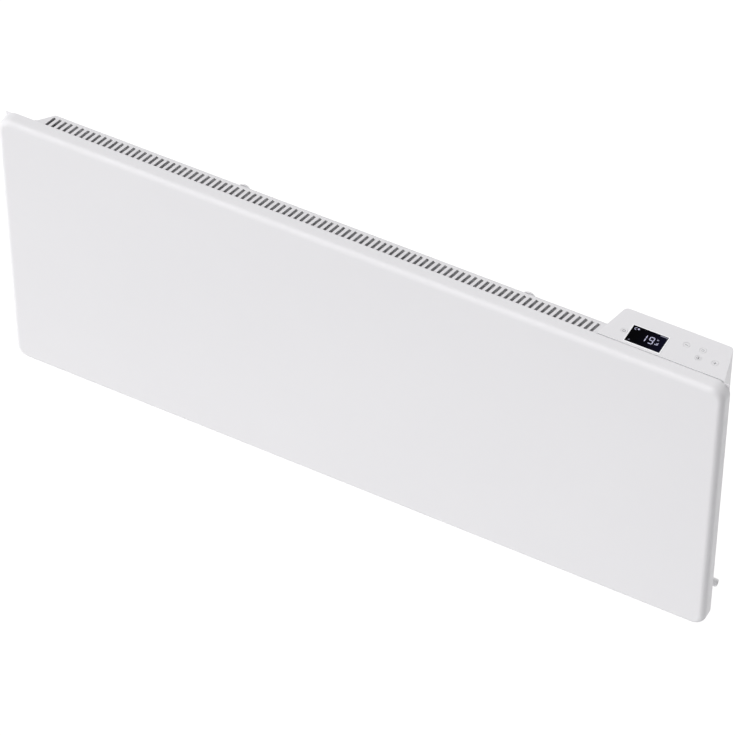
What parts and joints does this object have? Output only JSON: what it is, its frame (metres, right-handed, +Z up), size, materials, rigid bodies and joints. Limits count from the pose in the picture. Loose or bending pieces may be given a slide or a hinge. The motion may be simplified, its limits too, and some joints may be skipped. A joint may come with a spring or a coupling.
{
  "type": "wall panel convector heater",
  "caption": "Slim wall convector heater: pressed steel front tray, slotted outlet grille, tapered control unit with display and keys, finned element and lift-off wall bracket.",
  "frame": {"origin": "centre of the bracket's four wall screw holes, on the wall plane", "axes": "+X to the right along the wall, +Y into the wall (the front faces -Y), +Z up"},
  "size_m": [0.867, 0.084, 0.3703],
  "materials": {
    "white_paint": "satin powder coat",
    "white_plastic": "fine matt, moulded",
    "grey_plastic": "fine matt, moulded",
    "black_plastic": "matt, moulded",
    "display_glass": "polished black window",
    "bracket_steel": "satin powder coat",
    "plated_steel": "bright zinc plate",
    "galvanised_sheet": "galvanised, spangled",
    "element_aluminium": "extruded mill finish",
    "rod_steel": "heat-dulled tube",
    "ceramic_white": "unglazed steatite",
    "grey_rubber": "matt",
    "board_green": "lacquered laminate",
    "lead_silicone": "smooth sleeve"
  },
  "bodies": {
    "bracket": {"bracket_upright_left": "bracket_steel", "bracket_upright_right": "bracket_steel", "bracket_rail_upper": "bracket_steel", "bracket_rail_lower": "bracket_steel", "bracket_rivets": "plated_steel"},
    "heater": {"front_panel": "white_paint", "panel_stiffeners": "galvanised_sheet", "heat_shield": "galvanised_sheet", "rear_casing": "white_paint", "top_grille": "white_paint", "bottom_grille": "white_paint", "casing_screws": "plated_steel", "hanging_loops": "bracket_steel", "loop_rivets": "plated_steel", "spacer_pads": "grey_rubber", "element_fins": "element_aluminium", "heating_rod": "rod_steel", "element_bushes": "ceramic_white", "element_hangers": "galvanised_sheet", "element_connector": "ceramic_white", "thermal_cutout": "black_plastic", "cutout_strap": "galvanised_sheet", "terminal_cover": "grey_plastic", "terminal_screws": "plated_steel", "terminal_block": "white_plastic", "cable_gland": "grey_plastic", "gland_locknut": "grey_plastic", "control_housing": "white_plastic", "housing_screws": "plated_steel", "room_sensor": "black_plastic", "control_fascia": "white_plastic", "display_window": "display_glass", "display_module": "black_plastic", "control_board": "board_green", "board_screws": "plated_steel", "key_switches": "black_plastic", "supply_lead": "lead_silicone", "element_lead": "lead_silicone"},
    "power_key": {"key_power": "white_plastic"},
    "minus_key": {"key_minus": "white_plastic"},
    "timer_key": {"key_timer": "white_plastic"},
    "mode_key": {"key_mode": "white_plastic"},
    "plus_key": {"key_plus": "white_plastic"}
  },
  "joints": [
    {"name": "heater_lift", "type": "slide", "parent": "bracket", "child": "heater", "axis": [0, 0, 1], "range_m": [0, 0.024]},
    {"name": "power_press", "type": "slide", "parent": "heater", "child": "power_key", "axis": [0, 0, -1], "range_m": [0, 0.0006], "stiffness_N_per_m": 300},
    {"name": "minus_press", "type": "slide", "parent": "heater", "child": "minus_key", "axis": [0, 0, -1], "range_m": [0, 0.0006], "stiffness_N_per_m": 300},
    {"name": "timer_press", "type": "slide", "parent": "heater", "child": "timer_key", "axis": [0, 0, -1], "range_m": [0, 0.0006], "stiffness_N_per_m": 300},
    {"name": "mode_press", "type": "slide", "parent": "heater", "child": "mode_key", "axis": [0, 0, -1], "range_m": [0, 0.0006], "stiffness_N_per_m": 300},
    {"name": "plus_press", "type": "slide", "parent": "heater", "child": "plus_key", "axis": [0, 0, -1], "range_m": [0, 0.0006], "stiffness_N_per_m": 300}
  ]
}
